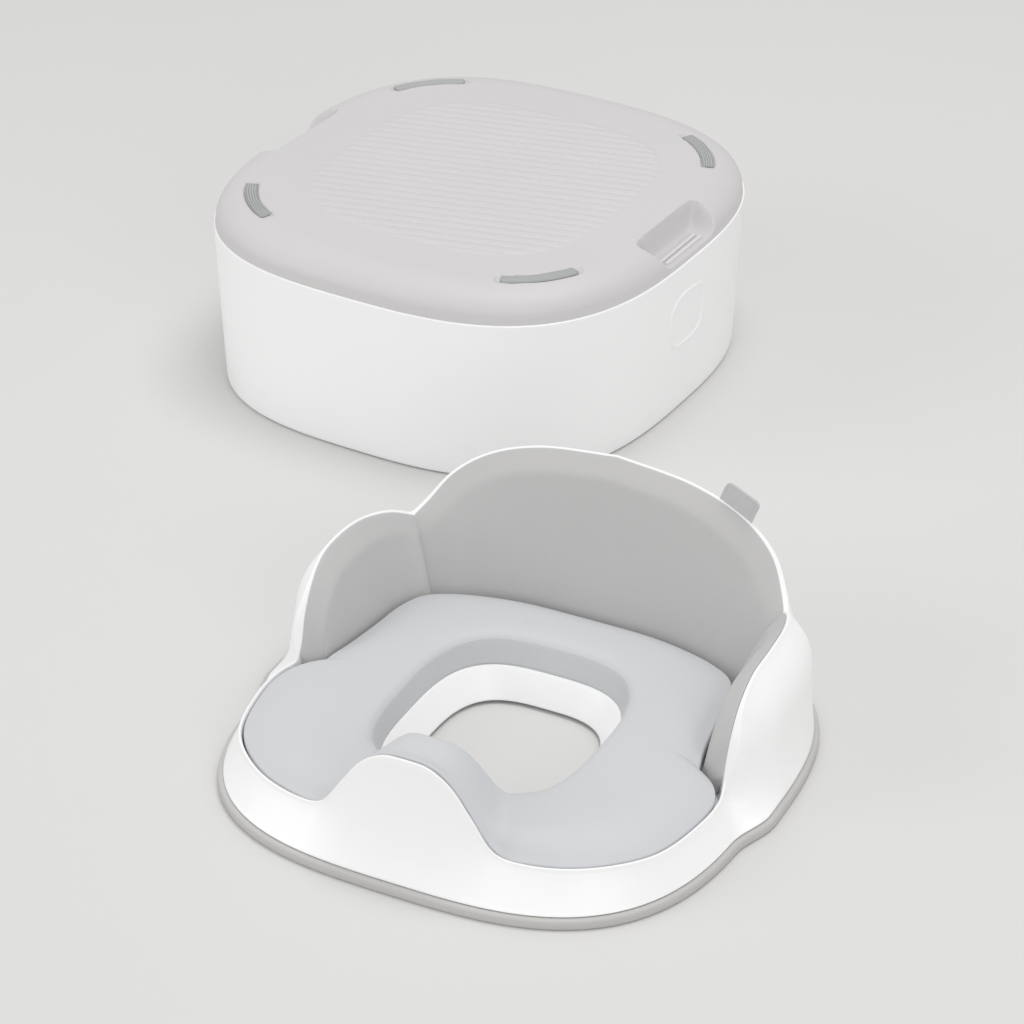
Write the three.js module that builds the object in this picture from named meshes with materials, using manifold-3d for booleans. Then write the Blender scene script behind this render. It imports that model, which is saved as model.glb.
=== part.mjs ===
// Potty training chair: a step-stool base with a lift-off lid and an inner pot, and a padded potty seat
// that stands beside it. Millimetres, +Z up, the front of both units faces -Y.
import * as THREE from 'three';
import { mergeVertices } from 'three/addons/utils/BufferGeometryUtils.js';
import { ParametricGeometry } from 'three/addons/geometries/ParametricGeometry.js';
import Module from 'manifold-3d';

const wasm = await Module();
wasm.setup();

// ---------------------------------------------------------------------------------------------------
// Driving dimensions
// ---------------------------------------------------------------------------------------------------
const GAP = 0.3; // clearance between pieces that touch
const FOOT_HEIGHT = 2;
const TUB = {
  topX: 185, bottomX: 178, y: 188.3, power: 2.87, top: 128, wall: 3.2, floor: 3.5, edge: 3, rimZ: 0.7,
};
const LID = { top: 151.3, inset: 2.6, wall: 3, skirtDepth: 12, skirtClearance: 1.0, shoulder: 30 };
const POCKET = {
  floor: 131.2, floorX: 164, topX: 157, floorHalf: 31, topHalf: 47, floorRadius: 8, topRadius: 15,
};
const GRIP = { radius: 80, width: 9.5, sweep: 40, height: 2.2, proud: 0.1, apex: 125.5 };
const INSERT = { x: 173.5, width: 11, length: 60, height: 3, barWidth: 2.6, barPitch: 5 };
const POT = { rimRadius: 128, bowlRadius: 112, floorRadius: 88, height: 104, wall: 2.6, stretchY: 1.06 };
const FOOT = { radius: 10, offset: 122 };
const SEAT = { x: 301.3, y: -457.2, turn: 4 }; // where the seat unit stands from the middle of the base
const RIM = { frontX: 171.5, rearX: 181, y: 171.5, power: 3.0, height: 7, lip: 3.5, width: 9 };
const HOLE = { x: 66.5, y: 77, power: 3.2, centreY: -20, top: 22.6, bottom: 2.5, taper: 12, wall: 2.6 };
const DECK = { z: 19, thickness: 3 };
const WALL = {
  skin: 3, frontLip: 2.5, armTop: 3, armFoot: 9, backTop: 2.6, notch: 4.5, backWaist: 6.6, armWaist: 16.6,
};
const GUARD = { rise: 53.6, deckRise: 46, halfWidth: 70, y: -148, flatness: 3.1, softness: 2.85 };
const PAD = { bottom: 22.7, edge: 31, crown: 43, wellTop: 41, hole: 23.6, archCrown: -4, sideGap: 0.8 };
const CARRIER = { bottom: 0.4, top: 3.3, inner: 4, outer: 14, end: 148 }; // heights are above the deck
const CLIP = { x: 96, y: 52, width: 14, thickness: 3, drop: 7 };
const LINER = { bottom: 19.6, edge: 15, crease: 0.008, frontGap: 0.012, wallGap: 0.6 }; // end gaps in radians
const TAG = { width: 27, height: 17.5, root: 5, thickness: 2.4, radius: 5, angle: 30.5 };

// Outlines of the seat, right half, from the middle of the back to the middle of the front: x, y and
// where it matters z. The left half mirrors them.
const BACK_EDGE = [
  [0, 150, 141], [57, 149, 134], [93, 146, 121], [117, 139, 103.5], [130, 127, 85], [136, 117, 77],
];
const ARM_EDGE = [
  [136, 117, 77], [144.5, 100, 86], [152, 74, 92.5], [154.5, 45, 94], [154, 22, 91], [153, 6, 79],
  [152.5, -5, 62], [152, -11, 44], [152.5, -16, 31],
];
const FRONT_EDGE = [
  [152.5, -16, 31], [157.5, -34, 31], [156.5, -60, 31], [144.5, -103, 31], [112, -134, 31], [78, -146, 31],
];
const LINER_FOOT = [
  [0, 119], [46, 118], [76, 113], [101, 103], [119, 90], [131, 67], [138, 34], [144, 4], [149, -15],
];
const LINER_FACE = [
  [0, 110], [45, 109], [72, 104.5], [97, 96.5], [113.5, 86], [121.5, 67], [125, 41], [130, 10], [135.5, -13],
];
const PAD_FRONT = [
  [135.5, -13], [149.5, -22], [156.3, -36], [155.8, -60], [143.8, -102.4], [111.4, -133.4], [78, -145.4],
];

// ---------------------------------------------------------------------------------------------------
// Geometry helpers
// ---------------------------------------------------------------------------------------------------
const lerp = THREE.MathUtils.lerp;
const smooth = THREE.MathUtils.smoothstep;

// Joins doubled vertices, drops collapsed triangles and turns the faces outwards.
function closed(geometry) {
  const bare = geometry.index ? geometry.toNonIndexed() : geometry.clone();
  bare.deleteAttribute('normal');
  bare.deleteAttribute('uv');
  const merged = mergeVertices(bare, 1e-3);
  const at = (i) => new THREE.Vector3().fromBufferAttribute(merged.attributes.position, i);
  const kept = [];
  let volume = 0;
  for (let i = 0; i < merged.index.count; i += 3) {
    const [a, b, c] = [0, 1, 2].map((k) => merged.index.getX(i + k));
    if (a === b || b === c || c === a) continue;
    kept.push(a, b, c);
    volume += at(a).dot(at(b).cross(at(c)));
  }
  merged.setIndex(volume < 0 ? kept.reverse() : kept);
  merged.computeVertexNormals();
  return merged;
}

function toSolid(geometry) {
  const body = closed(geometry);
  return new wasm.Manifold(new wasm.Mesh({
    numProp: 3,
    vertProperties: Float32Array.from(body.attributes.position.array),
    triVerts: Uint32Array.from(body.index.array),
  }));
}

function toGeometry(solid) {
  const mesh = solid.getMesh();
  const geometry = new THREE.BufferGeometry();
  geometry.setAttribute('position', new THREE.BufferAttribute(mesh.vertProperties, 3));
  geometry.setIndex(new THREE.BufferAttribute(mesh.triVerts, 1));
  geometry.computeVertexNormals();
  return geometry;
}

// Skins a row of sections with equal point counts. A ring closes on its first section, and an open row is
// capped by shrinking its end sections to their middles.
function loft(sections, isRing) {
  const middle = (section) => {
    const centre = section.reduce((sum, p) => sum.add(p), new THREE.Vector3()).divideScalar(section.length);
    return section.map(() => centre.clone());
  };
  const rows = isRing ? sections : [middle(sections[0]), ...sections, middle(sections.at(-1))];
  const steps = isRing ? rows.length : rows.length - 1;
  const points = rows[0].length;
  const surface = (u, v, target) => {
    target.copy(rows[Math.round(u * steps) % rows.length][Math.round(v * points) % points]);
  };
  return closed(new ParametricGeometry(surface, steps, points));
}

// A rounded square: the point of |x/a|^n + |y/b|^n = 1 in direction angle.
function squircle(angle, a, b, power) {
  const [c, s] = [Math.cos(angle), Math.sin(angle)];
  const radius = (Math.abs(c / a) ** power + Math.abs(s / b) ** power) ** (-1 / power);
  return new THREE.Vector2(radius * c, radius * s);
}

// A lathe turned into the tub's rounded-square plan. The profile holds [inset from the wall, z] pairs,
// and an inset of null is the axis.
function squircleLathe(profile, segments) {
  const turned = new THREE.LatheGeometry(profile.map(([inset, z]) => (
    new THREE.Vector2(inset === null ? 0 : 1 - inset / TUB.topX, z))), segments);
  turned.rotateX(Math.PI / 2);
  const position = turned.attributes.position;
  for (let i = 0; i < position.count; i += 1) {
    const [x, y, z] = [position.getX(i), position.getY(i), position.getZ(i)];
    const halfX = lerp(TUB.bottomX, TUB.topX, Math.min(1, z / TUB.top));
    const outline = squircle(Math.atan2(y, x), halfX, TUB.y, TUB.power);
    position.setXY(i, outline.x * Math.hypot(x, y), outline.y * Math.hypot(x, y));
  }
  return closed(turned);
}

// An outline through chosen points, read by its direction from the seat's middle.
function outlineByAngle(...stretches) {
  const samples = stretches.flatMap((points) => new THREE.CatmullRomCurve3(
    points.map(([x, y, z = 0]) => new THREE.Vector3(x, y, z)), false, 'centripetal').getPoints(90));
  const angles = samples.map((p) => Math.atan2(p.x, p.y));
  return (angle) => {
    const next = Math.max(1, angles.findIndex((a) => a >= angle - 1e-9));
    const share = (angle - angles[next - 1]) / (angles[next] - angles[next - 1] || 1);
    return samples[next - 1].clone().lerp(samples[next], THREE.MathUtils.clamp(share, 0, 1));
  };
}

// ---------------------------------------------------------------------------------------------------
// Materials and assembly helpers
// ---------------------------------------------------------------------------------------------------
const finish = (color, roughness) => new THREE.MeshStandardMaterial({ color, roughness, metalness: 0 });
const WHITE_PLASTIC = finish(0xf4f4f5, 0.38);
const GREY_PLASTIC = finish(0xcfcdcd, 0.5);
const GREY_RUBBER = finish(0xc4c1be, 0.7);
const DARK_RUBBER = finish(0x8d9191, 0.8);
const GREY_PADDING = finish(0xbcbaba, 0.6);
const BLUE_GREY_PADDING = finish(0xcfd1d5, 0.6);

function piece(name, geometry, material) {
  const mesh = new THREE.Mesh(geometry, material);
  mesh.name = name;
  return mesh;
}

// ---------------------------------------------------------------------------------------------------
// Step-stool base
// ---------------------------------------------------------------------------------------------------
const BASE_SEGMENTS = 56;

function buildTub() {
  const floorTop = FOOT_HEIGHT + TUB.floor;
  return squircleLathe([
    [null, FOOT_HEIGHT], [14, FOOT_HEIGHT], [12, TUB.rimZ], [TUB.edge * 0.7, TUB.rimZ],
    [0, TUB.rimZ + TUB.edge * 0.7], [0, TUB.top - 1], [0.8, TUB.top],
    [TUB.wall - 0.6, TUB.top], [TUB.wall, TUB.top - 0.8], [TUB.wall, floorTop + TUB.edge],
    [TUB.wall + TUB.edge, floorTop], [null, floorTop],
  ], BASE_SEGMENTS);
}

// Height of the lid's shell above its edge, from 0 to 1, across the rounded shoulder.
function shoulderProfile(offset, steps) {
  const rise = LID.top - TUB.top - GAP;
  const points = [];
  for (let i = 0; i <= steps; i += 1) {
    const turn = (i / steps) * Math.PI / 2;
    const inset = LID.inset + LID.shoulder * (1 - Math.cos(turn) ** 0.9);
    points.push([inset + offset, TUB.top + GAP + rise * Math.sin(turn) ** 0.85 - offset]);
  }
  return points;
}

function pocketCutter(grow) {
  const sections = [];
  const top = LID.top + 4;
  const bottom = POCKET.floor - grow;
  const levels = [0, 0.08, 0.25, 0.5, 0.78, 1];
  for (const level of levels) {
    const open = Math.sqrt(level);
    const half = lerp(POCKET.floorHalf, POCKET.topHalf, open) + grow;
    const inner = lerp(POCKET.floorX, POCKET.topX, open) - grow;
    const radius = lerp(POCKET.floorRadius, POCKET.topRadius, open) + grow;
    const outer = TUB.topX + 12;
    const z = lerp(bottom, top, level);
    const section = [new THREE.Vector3(outer, -half, z), new THREE.Vector3(outer, half, z)];
    for (let i = 0; i <= 5; i += 1) {
      const turn = Math.PI / 2 * (1 + i / 5);
      const x = inner + radius * (1 + Math.cos(turn));
      section.push(new THREE.Vector3(x, half - radius * (1 - Math.sin(turn)), z));
    }
    for (let i = 0; i <= 5; i += 1) {
      const turn = Math.PI * (1 + i / 10);
      const x = inner + radius * (1 + Math.cos(turn));
      section.push(new THREE.Vector3(x, -half + radius * (1 + Math.sin(turn)), z));
    }
    sections.push(section);
  }
  return loft(sections, false);
}

// An arc-shaped strip, flat in plan, at one corner of the tread.
function arcOutline(grow) {
  const half = THREE.MathUtils.degToRad(GRIP.sweep / 2);
  const [inner, outer] = [GRIP.radius - GRIP.width / 2 - grow, GRIP.radius + GRIP.width / 2 + grow];
  const shape = new THREE.Shape();
  const end = (angle, radius) => [radius * Math.cos(angle), radius * Math.sin(angle)];
  shape.absarc(0, 0, outer, -half, half, false);
  shape.absarc(...end(half, GRIP.radius), GRIP.width / 2 + grow, half, half + Math.PI, false);
  shape.absarc(0, 0, inner, half, -half, true);
  shape.absarc(...end(-half, GRIP.radius), GRIP.width / 2 + grow, Math.PI - half, 2 * Math.PI - half, false);
  return shape;
}

const CORNERS = [[1, 1, 'rear_right'], [-1, 1, 'rear_left'], [-1, -1, 'front_left'], [1, -1, 'front_right']];

function gripGeometry(signX, signY, grow, depth) {
  const strip = new THREE.ExtrudeGeometry(arcOutline(grow), { depth, bevelEnabled: false, curveSegments: 6 });
  const inward = GRIP.apex - GRIP.radius / Math.SQRT2;
  strip.rotateZ(Math.atan2(signY, signX));
  strip.translate(signX * inward, signY * inward, 0);
  return strip;
}

function buildLid() {
  const shoulder = shoulderProfile(0, 6);
  const skirtOuter = TUB.wall + LID.skirtClearance;
  const skirtBottom = TUB.top - LID.skirtDepth;
  const shell = toSolid(squircleLathe([
    [null, skirtBottom], [skirtOuter, skirtBottom], [skirtOuter, TUB.top + GAP],
    ...shoulder, [null, LID.top],
  ], BASE_SEGMENTS));
  const hollow = toSolid(squircleLathe([
    [null, skirtBottom - 1], [skirtOuter + 2.2, skirtBottom - 1], [skirtOuter + 2.2, TUB.top],
    ...shoulderProfile(LID.wall, 3).slice(1), [null, LID.top - LID.wall],
  ], BASE_SEGMENTS));
  let lid = shell;
  let inside = hollow;
  for (const side of [0, Math.PI]) {
    inside = inside.subtract(toSolid(pocketCutter(LID.wall).rotateZ(side)));
    lid = lid.subtract(toSolid(pocketCutter(0).rotateZ(side)));
    const seat = new THREE.BoxGeometry(INSERT.width + 2 * GAP, INSERT.length + 2 * GAP, 2 * INSERT.height);
    seat.translate(INSERT.x, 0, POCKET.floor);
    lid = lid.subtract(toSolid(seat.rotateZ(side)));
  }
  const recess = GRIP.height - GRIP.proud + GAP;
  for (const [signX, signY] of CORNERS) {
    const cutter = gripGeometry(signX, signY, GAP, recess + 5).translate(0, 0, LID.top - recess);
    lid = lid.subtract(toSolid(cutter));
  }
  return toGeometry(lid.subtract(inside));
}

function buildInsert() {
  const [width, length] = [INSERT.width, INSERT.length];
  let insert = toSolid(new THREE.BoxGeometry(width, length, INSERT.height - GAP - 1));
  for (const side of [-1, 1]) {
    const bar = new THREE.BoxGeometry(INSERT.barWidth, length - 6, INSERT.height);
    insert = insert.add(toSolid(bar.translate(side * INSERT.barPitch / 2, 0, 0.5)));
  }
  return toGeometry(insert);
}

function buildPot() {
  const bottom = FOOT_HEIGHT + TUB.floor + GAP;
  const top = bottom + POT.height;
  const bowl = new THREE.LatheGeometry([
    [0, bottom], [POT.floorRadius - 8, bottom], [POT.floorRadius, bottom + 6], [POT.bowlRadius, top - 4],
    [POT.rimRadius, top - 4], [POT.rimRadius + 1.5, top - 6], [POT.rimRadius + 3, top - 5],
    [POT.rimRadius + 1, top],
    [POT.bowlRadius - POT.wall, top - 1], [POT.floorRadius - POT.wall, bottom + 6 + POT.wall],
    [POT.floorRadius - 10, bottom + POT.wall], [0, bottom + POT.wall],
  ].map(([r, z]) => new THREE.Vector2(r, z)), 48);
  bowl.rotateX(Math.PI / 2);
  bowl.scale(1, POT.stretchY, 1);
  return closed(bowl);
}

function buildBase() {
  const base = new THREE.Group();
  base.add(piece('tub', buildTub(), WHITE_PLASTIC));
  base.add(piece('lid', buildLid(), GREY_PLASTIC));
  base.add(piece('pot', buildPot(), WHITE_PLASTIC));
  for (const [signX, signY, corner] of CORNERS) {
    const foot = new THREE.CylinderGeometry(FOOT.radius, FOOT.radius, FOOT_HEIGHT - GAP, 16);
    const pad = piece(`base_foot_${corner}`, closed(foot.rotateX(Math.PI / 2)), GREY_RUBBER);
    pad.position.set(signX * FOOT.offset, signY * FOOT.offset, (FOOT_HEIGHT - GAP) / 2);
    base.add(pad);
    const strip = gripGeometry(signX, signY, 0, GRIP.height);
    const grip = piece(`tread_grip_${corner}`, closed(strip), DARK_RUBBER);
    grip.position.z = LID.top + GRIP.proud - GRIP.height;
    base.add(grip);
  }
  for (const [side, name] of [[1, 'right'], [-1, 'left']]) {
    const insert = piece(`handle_grip_${name}`, buildInsert(), GREY_RUBBER);
    insert.position.set(side * INSERT.x, 0, POCKET.floor - 1.5);
    base.add(insert);
  }
  return base;
}

// ---------------------------------------------------------------------------------------------------
// Potty seat: every section lies in a plane through the seat's upright axis
// ---------------------------------------------------------------------------------------------------
// How far the splash guard has risen at x, from 0 at its foot to 1 at its middle.
function guardRise(x) {
  const share = Math.min(1, Math.abs(x) / GUARD.halfWidth);
  return (1 - share ** GUARD.flatness) ** GUARD.softness;
}

function guardOutline(y) {
  return [60, 45, 30, 15, 0].map((x) => [x, y, 31 + GUARD.rise * guardRise(x)]);
}

const edgeOutline = outlineByAngle(BACK_EDGE, ARM_EDGE, [...FRONT_EDGE, ...guardOutline(GUARD.y)]);
const footOutline = outlineByAngle(LINER_FOOT);
const faceOutline = outlineByAngle(LINER_FACE);
const padFrontOutline = outlineByAngle([...PAD_FRONT, ...guardOutline(GUARD.y + 1.5)]);
const ARM_END = Math.atan2(ARM_EDGE.at(-1)[0], ARM_EDGE.at(-1)[1]);
const NOTCH = Math.atan2(...BACK_EDGE.at(-1));
const CARRIER_END = THREE.MathUtils.degToRad(CARRIER.end);
const PAD_ARM_END = Math.atan2(...PAD_FRONT[0]);

// Stations round the right half, closer where the outline turns quickly.
function stationAngles() {
  const row = (from, to, steps) => Array.from({ length: steps }, (_, i) => lerp(from, to, i / steps));
  const degrees = THREE.MathUtils.degToRad;
  return [
    ...row(0, NOTCH, 9), ...row(NOTCH, degrees(78), 6), ...row(degrees(78), ARM_END, 10),
    ...row(ARM_END, degrees(150), 8), ...row(degrees(150), Math.PI, 10), Math.PI,
  ];
}

const radial = (angle, radius, z) => new THREE.Vector3(radius * Math.sin(angle), radius * Math.cos(angle), z);
const reach = (point) => Math.hypot(point.x, point.y);

function rimReach(angle) {
  const y = Math.cos(angle) * RIM.y;
  const halfX = lerp(RIM.frontX, RIM.rearX, smooth(y, -40, -2));
  return squircle(Math.PI / 2 - angle, halfX, RIM.y, RIM.power).length();
}

function holeReach(angle, inset) {
  let [low, high] = [0, HOLE.y + Math.abs(HOLE.centreY)];
  for (let i = 0; i < 30; i += 1) {
    const mid = (low + high) / 2;
    const point = radial(angle, mid, 0);
    const x = Math.abs(point.x / (HOLE.x - inset)) ** HOLE.power;
    const y = Math.abs((point.y - HOLE.centreY) / (HOLE.y - inset)) ** HOLE.power;
    if (x + y < 1) low = mid; else high = mid;
  }
  return low;
}

// Thickness of the wall's top edge: thin at the top of the back and arms, thick down the arm's front.
function edgeThickness(angle, z) {
  if (angle < NOTCH) return lerp(WALL.notch, WALL.backTop, smooth(z, 76, 139));
  if (angle > ARM_END) return WALL.frontLip;
  const arm = lerp(WALL.armFoot, WALL.armTop, smooth(z, 40, 93));
  const fromNotch = smooth(angle, NOTCH, NOTCH + 0.25);
  const toFront = smooth(angle, ARM_END - 0.06, ARM_END);
  return lerp(lerp(WALL.notch, arm, fromNotch), WALL.frontLip, toFront);
}

function footReach(angle) {
  return angle < ARM_END ? reach(footOutline(angle)) : reach(edgeOutline(angle)) - 1.5;
}

// The deck under the pad: flat, and ramped up towards the splash guard in front.
function deckAt(angle, radius) {
  const rise = angle > ARM_END ? guardRise(edgeOutline(angle).x) : 0;
  const start = holeReach(angle, 0) + HOLE.wall;
  const foot = footReach(angle);
  const middle = lerp(start, foot, 0.5);
  const share = radius < middle
    ? 0.75 * (radius - start) / (middle - start)
    : 0.75 + 0.25 * (radius - middle) / (foot - middle);
  return DECK.z + GUARD.deckRise * rise * THREE.MathUtils.clamp(share, 0, 1);
}

// How far the outer wall stands off the top edge where it bulges most.
function waistReach(angle) {
  return lerp(WALL.backWaist, WALL.armWaist, smooth(angle, NOTCH - 0.1, NOTCH + 0.15)) + WALL.backTop;
}

function shellSection(angle) {
  const edge = edgeOutline(angle);
  const edgeR = reach(edge);
  const rim = rimReach(angle);
  const foot = footReach(angle);
  const thickness = edgeThickness(angle, edge.z);
  const deck = deckAt(angle, foot);
  const topR = Math.min(edgeR + thickness, rim - 1);
  const topZ = edge.z - 1;
  const rimZ = RIM.height + GAP;
  const widest = Math.max(topR, Math.min(edgeR + waistReach(angle), rim - 3));
  const waist = lerp(widest, topR, smooth(angle, ARM_END - 0.25, ARM_END + 0.03));
  const swell = lerp(0.6, 0.4, smooth(angle, NOTCH - 0.1, NOTCH + 0.1));
  const frontFlare = angle > ARM_END ? lerp(1.15, 2.4, guardRise(edge.x)) : 1.15;
  const flare = lerp(4, frontFlare, smooth(angle, ARM_END - 0.12, ARM_END + 0.12));
  const outer = (z) => {
    const fall = THREE.MathUtils.clamp((topZ - z) / (topZ - rimZ), 0, 1);
    return topR + (waist - topR) * (1 - (1 - Math.min(1, fall / swell)) ** 2) + (rim - waist) * fall ** flare;
  };
  const inner = (z) => outer(Math.min(topZ, z + 2)) - WALL.skin;
  const face = (z) => lerp(foot, edgeR, THREE.MathUtils.clamp((z - deck) / (edge.z - deck), 0, 1)) + WALL.skin;
  let ceiling = deck - DECK.thickness + Math.max(1, 0.5 * (edge.z - deck) - 6);
  while (ceiling > deck - DECK.thickness + 1 && inner(ceiling) < face(ceiling) + 1) ceiling -= 0.5;
  const hole = holeReach(angle, 0);
  const collar = holeReach(angle, HOLE.taper);
  const middleR = lerp(hole + HOLE.wall, foot, 0.5);
  const middleZ = deckAt(angle, middleR);
  const at = (r, z) => radial(angle, r, z);
  const down = (share) => lerp(topZ, rimZ, share);
  const up = (share) => lerp(rimZ, ceiling, share);
  return [
    at(collar, HOLE.bottom), at(hole, HOLE.top), at(hole + HOLE.wall, HOLE.top), at(hole + HOLE.wall, DECK.z),
    at(middleR, middleZ), at(foot, deck),
    at(edgeR, edge.z), at((edgeR + topR) / 2, edge.z + 1), at(topR, topZ),
    at(outer(down(0.2)), down(0.2)), at(outer(down(0.45)), down(0.45)), at(outer(down(0.7)), down(0.7)),
    at(outer(down(0.87)), down(0.87)), at(rim, rimZ), at(rim - WALL.skin, rimZ),
    at(inner(up(0.3)), up(0.3)), at(inner(up(0.65)), up(0.65)),
    at(Math.max(inner(ceiling), face(ceiling) + 1), ceiling), at(face(ceiling), ceiling),
    at(foot + 1.5, deck - DECK.thickness), at(middleR, middleZ - DECK.thickness),
    at(hole + HOLE.wall + 2, DECK.z - DECK.thickness), at(collar + HOLE.wall, HOLE.bottom),
  ];
}

function padReach(angle) {
  return reach((angle < PAD_ARM_END ? faceOutline : padFrontOutline)(angle)) - PAD.sideGap;
}

function padSection(angle) {
  const rise = angle > ARM_END ? guardRise(edgeOutline(angle).x) : 0;
  const outer = padReach(angle);
  const atFront = smooth(angle, ARM_END - 0.1, ARM_END + 0.15);
  const edgeZ = lerp(37, PAD.edge - 1, atFront) + GUARD.rise * rise;
  const crownZ = PAD.crown + (GUARD.rise - PAD.crown + PAD.edge + PAD.archCrown) * rise;
  const hole = holeReach(angle, -1);
  const wellR = hole + lerp(10, 16, rise);
  const wellZ = PAD.wellTop + (GUARD.rise - 13) * rise;
  const at = (r, z) => radial(angle, r, z);
  const under = (r) => at(r, deckAt(angle, r) + PAD.bottom - DECK.z);
  const middleR = lerp(holeReach(angle, 0) + HOLE.wall, footReach(angle), 0.5);
  return [
    at(hole, PAD.hole), at(lerp(hole, wellR, 0.45), lerp(PAD.hole, wellZ, 0.55)), at(wellR, wellZ),
    at(lerp(wellR, outer, 0.35), crownZ), at(lerp(wellR, outer, 0.75), crownZ - 1),
    at(outer - 3, lerp(crownZ, edgeZ, 0.6)), at(outer, edgeZ - 2), under(outer - 0.6),
    under(middleR), under(hole + HOLE.wall + 3), at(hole + HOLE.wall + 2, PAD.hole - 0.6),
  ];
}

function carrierSection(angle) {
  const inner = holeReach(angle, 0) + HOLE.wall + CARRIER.inner;
  const outer = padReach(angle) - CARRIER.outer;
  const [bottom, top] = [DECK.z + CARRIER.bottom, DECK.z + CARRIER.top];
  return [[inner, bottom], [inner, top], [outer, top], [outer, bottom]].map(([r, z]) => radial(angle, r, z));
}

function rimSection(angle) {
  const rim = rimReach(angle);
  const at = (r, z) => radial(angle, r, z);
  return [
    at(rim - RIM.width, 0), at(rim + RIM.lip - 1, 0), at(rim + RIM.lip, 1.2),
    at(rim + RIM.lip - 0.4, RIM.height - 1.5), at(rim + RIM.lip - 2, RIM.height),
    at(rim - RIM.width + 3, RIM.height),
  ];
}

function linerSection(angle) {
  const edge = edgeOutline(angle);
  const [foot, top] = [footReach(angle) - LINER.wallGap, reach(edge) - LINER.wallGap];
  const face = reach(faceOutline(angle));
  const depth = (foot - face) * 0.97;
  const back = (share) => lerp(foot, top, share);
  const height = (share) => lerp(LINER.bottom, edge.z - 0.2, share);
  const fall = LINER.edge / (edge.z - LINER.bottom);
  const at = (r, z) => radial(angle, r, z);
  return [
    at(foot, height(0)), at(top, height(1)), at(top - depth * 0.15, height(1)),
    at(back(1 - fall) - depth * 0.95, height(1 - fall)), at(back(0.5) - depth, height(0.5)), at(face, height(0)),
  ];
}

// The same sections on the left side, in the order that keeps the way round.
const leftOf = (sections) => [...sections].reverse().map((section) => (
  section.map((p) => new THREE.Vector3(-p.x, p.y, p.z))));

function ringOf(section) {
  const right = stationAngles().map(section);
  return loft([...right, ...leftOf(right.slice(1, -1))], true);
}

// Sections from one side round the back to the other side.
function horseshoe(section, angles) {
  const right = angles.map(section);
  return loft([...leftOf(right.slice(1)), ...right], false);
}

// The shell's own stations between two angles, with the two angles themselves as its ends.
function stationsBetween(from, to) {
  return [from, ...stationAngles().filter((a) => a > from + 0.01 && a < to - 0.01), to];
}

const CLIPS = [[1, 1], [-1, 1], [1, -1], [-1, -1]].map(([x, y]) => [x * CLIP.x, y * CLIP.y]);

function clipBox(x, y, grow, top) {
  const bottom = DECK.z - CLIP.drop;
  const box = new THREE.BoxGeometry(CLIP.thickness + 2 * grow, CLIP.width + 2 * grow, top - bottom + 2 * grow);
  return box.translate(x, y, (top + bottom) / 2);
}

function tagGeometry(grow) {
  const [half, radius] = [TAG.width / 2 + grow, TAG.radius];
  const [low, high] = [-TAG.root - grow, TAG.height + grow];
  const shape = new THREE.Shape();
  shape.moveTo(-half, low);
  shape.lineTo(half, low);
  shape.absarc(half - radius, high - radius, radius, 0, Math.PI / 2, false);
  shape.absarc(-half + radius, high - radius, radius, Math.PI / 2, Math.PI, false);
  const depth = TAG.thickness + 2 * grow;
  const tag = new THREE.ExtrudeGeometry(shape, { depth, bevelEnabled: false, curveSegments: 5 });
  return tag.translate(0, 0, -depth / 2).rotateX(Math.PI / 2);
}

// Moves the tag to the back's top edge, square to the edge's slope there.
function placeTag(geometry) {
  const angle = THREE.MathUtils.degToRad(TAG.angle);
  const [here, next] = [edgeOutline(angle), edgeOutline(angle + 0.02)];
  const slope = Math.atan2(next.z - here.z, next.x - here.x);
  const thickness = edgeThickness(angle, here.z);
  return geometry.rotateY(-slope).rotateZ(-0.12)
    .translate(here.x, here.y + thickness * 0.62, here.z - 0.5);
}

function buildSeat() {
  const seat = new THREE.Group();
  let shell = toSolid(ringOf(shellSection));
  let carrier = toSolid(horseshoe(carrierSection, stationAngles().filter((a) => a < CARRIER_END)));
  for (const [x, y] of CLIPS) {
    shell = shell.subtract(toSolid(clipBox(x, y, 0.6, DECK.z + 2)));
    carrier = carrier.add(toSolid(clipBox(x, y, 0, DECK.z + CARRIER.top - 1)));
  }
  shell = shell.subtract(toSolid(placeTag(tagGeometry(GAP))));
  seat.add(piece('seat_shell', toGeometry(shell), WHITE_PLASTIC));
  seat.add(piece('seat_rim', ringOf(rimSection), GREY_RUBBER));
  seat.add(piece('pad_carrier', toGeometry(carrier), WHITE_PLASTIC));
  seat.add(piece('seat_pad', ringOf(padSection), BLUE_GREY_PADDING));
  seat.add(piece('back_pad', horseshoe(linerSection, stationsBetween(0, NOTCH - LINER.crease)), GREY_PADDING));
  const arm = stationsBetween(NOTCH + LINER.crease, ARM_END - LINER.frontGap).map(linerSection);
  seat.add(piece('arm_pad_right', loft(arm, false), GREY_PADDING));
  seat.add(piece('arm_pad_left', loft(leftOf(arm), false), GREY_PADDING));
  seat.add(piece('tag', closed(placeTag(tagGeometry(0))), GREY_RUBBER));
  seat.position.set(SEAT.x, SEAT.y, 0);
  seat.rotation.z = THREE.MathUtils.degToRad(SEAT.turn);
  return seat;
}

// The set's origin is on the floor under the middle of its footprint.
const chair = new THREE.Group();
chair.add(buildBase(), buildSeat());
chair.updateMatrixWorld(true);
const extent = new THREE.Box3().setFromObject(chair, true);
const middle = extent.getCenter(new THREE.Vector3());
for (const unit of chair.children) unit.position.sub(new THREE.Vector3(middle.x, middle.y, 0));
chair.updateMatrixWorld(true);

export default chair;
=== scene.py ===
# Potty training chair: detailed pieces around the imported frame. Metres, +Z up, the fronts face -Y.
import math
import bpy
import bmesh
import numpy as np
from mathutils import Matrix, Vector


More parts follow.
